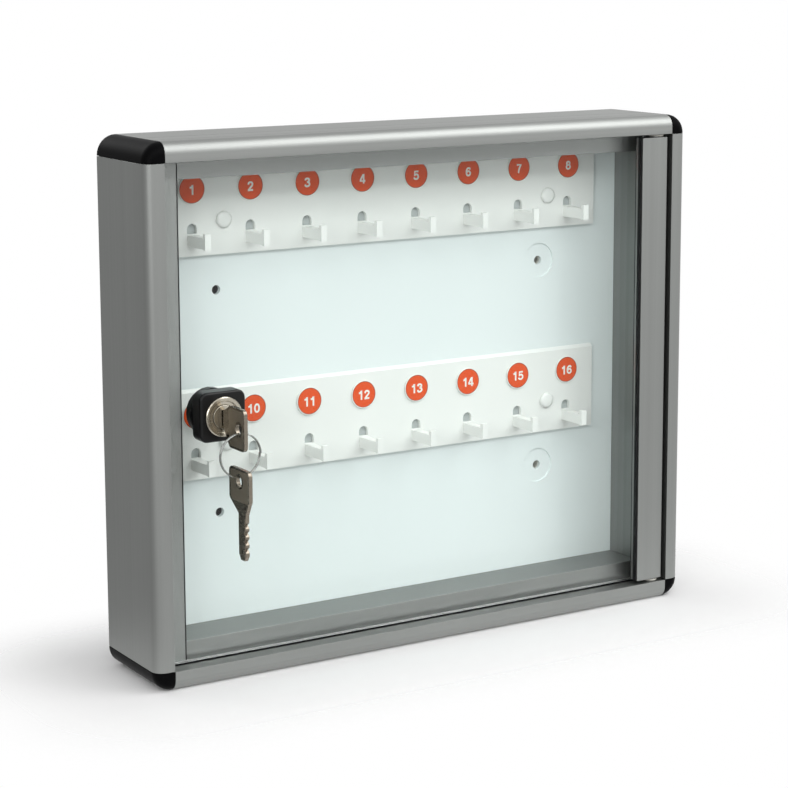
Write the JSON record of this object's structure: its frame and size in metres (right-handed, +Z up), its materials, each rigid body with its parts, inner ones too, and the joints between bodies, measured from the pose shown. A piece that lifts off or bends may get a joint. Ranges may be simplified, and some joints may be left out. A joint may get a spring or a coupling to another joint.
{
  "type": "key cabinet",
  "caption": "Wall-mounted glazed key cabinet: aluminium frame, hinged glass door with cam lock and keys, numbered hooks on white strips inside.",
  "frame": {"origin": "on the bottom face of the frame, half way along its width and its depth", "axes": "+X along the width towards the hinge side, +Y from the door to the wall, +Z up"},
  "size_m": [0.36, 0.0938, 0.3],
  "materials": {
    "anodised_aluminium": "satin anodised",
    "black_plastic": "satin",
    "beige_plastic": "satin",
    "panel_white": "gloss",
    "white_plastic": "semi-gloss",
    "orange_label": "satin",
    "nylon": "satin",
    "door_glass": "clear",
    "black_rubber": "matte",
    "steel": "zinc plated",
    "nickel": "nickel plated",
    "key_nickel": "nickel silver, worn"
  },
  "bodies": {
    "cabinet": {"frame_left": "anodised_aluminium", "frame_right": "anodised_aluminium", "frame_top": "anodised_aluminium", "frame_bottom": "anodised_aluminium", "corner_cap_bottom_left": "black_plastic", "corner_cap_top_left": "black_plastic", "corner_cap_top_right": "black_plastic", "corner_cap_bottom_right": "black_plastic", "back_panel": "panel_white", "wall_spacer_upper_left": "black_plastic", "wall_spacer_lower_left": "black_plastic", "wall_spacer_upper_right": "beige_plastic", "wall_spacer_lower_right": "beige_plastic", "hook_strip_upper": "white_plastic", "hook_strip_lower": "white_plastic", "strip_rivet_upper_left": "white_plastic", "strip_rivet_lower_left": "white_plastic", "strip_rivet_upper_right": "white_plastic", "strip_rivet_lower_right": "white_plastic", "number_disc_01": "orange_label", "number_disc_02": "orange_label", "number_disc_03": "orange_label", "number_disc_04": "orange_label", "number_disc_05": "orange_label", "number_disc_06": "orange_label", "number_disc_07": "orange_label", "number_disc_08": "orange_label", "number_disc_09": "orange_label", "number_disc_10": "orange_label", "number_disc_11": "orange_label", "number_disc_12": "orange_label", "number_disc_13": "orange_label", "number_disc_14": "orange_label", "number_disc_15": "orange_label", "number_disc_16": "orange_label", "stop_strip": "anodised_aluminium", "hinge_bush_top": "nylon", "hinge_bush_bottom": "nylon"},
    "door": {"glass_pane": "door_glass", "hinge_stile": "anodised_aluminium", "stile_gasket": "black_rubber", "hinge_pin_top": "steel", "hinge_pin_bottom": "steel", "lock_housing": "black_plastic", "lock_cylinder": "nickel", "rear_nut": "black_plastic"},
    "lock_core": {"lock_plug": "nickel", "lock_cam": "steel", "cam_screw": "steel"},
    "key": {"key_in_lock": "key_nickel"},
    "ring": {"key_ring": "key_nickel"},
    "spare": {"spare_key": "key_nickel"}
  },
  "joints": [
    {"name": "door_hinge", "type": "hinge", "parent": "cabinet", "child": "door", "pos_m": [0.1612, -0.0245, 0.15], "axis": [0, 0, 1], "range_deg": [0, 105]},
    {"name": "lock_turn", "type": "hinge", "parent": "door", "child": "lock_core", "pos_m": [-0.1375, -0.0333, 0.15], "axis": [0, 1, 0], "range_deg": [0, 180]},
    {"name": "key_slide", "type": "slide", "parent": "lock_core", "child": "key", "axis": [0, -1, 0], "range_m": [0, 0.03]},
    {"name": "ring_swing", "type": "hinge", "parent": "key", "child": "ring", "pos_m": [-0.1375, -0.0513, 0.14415], "axis": [1, 0, 0], "range_deg": [-60, 5]},
    {"name": "spare_swing", "type": "hinge", "parent": "ring", "child": "spare", "pos_m": [-0.1375, -0.0513, 0.13215], "axis": [0, 1, 0], "range_deg": [-90, 90]}
  ]
}
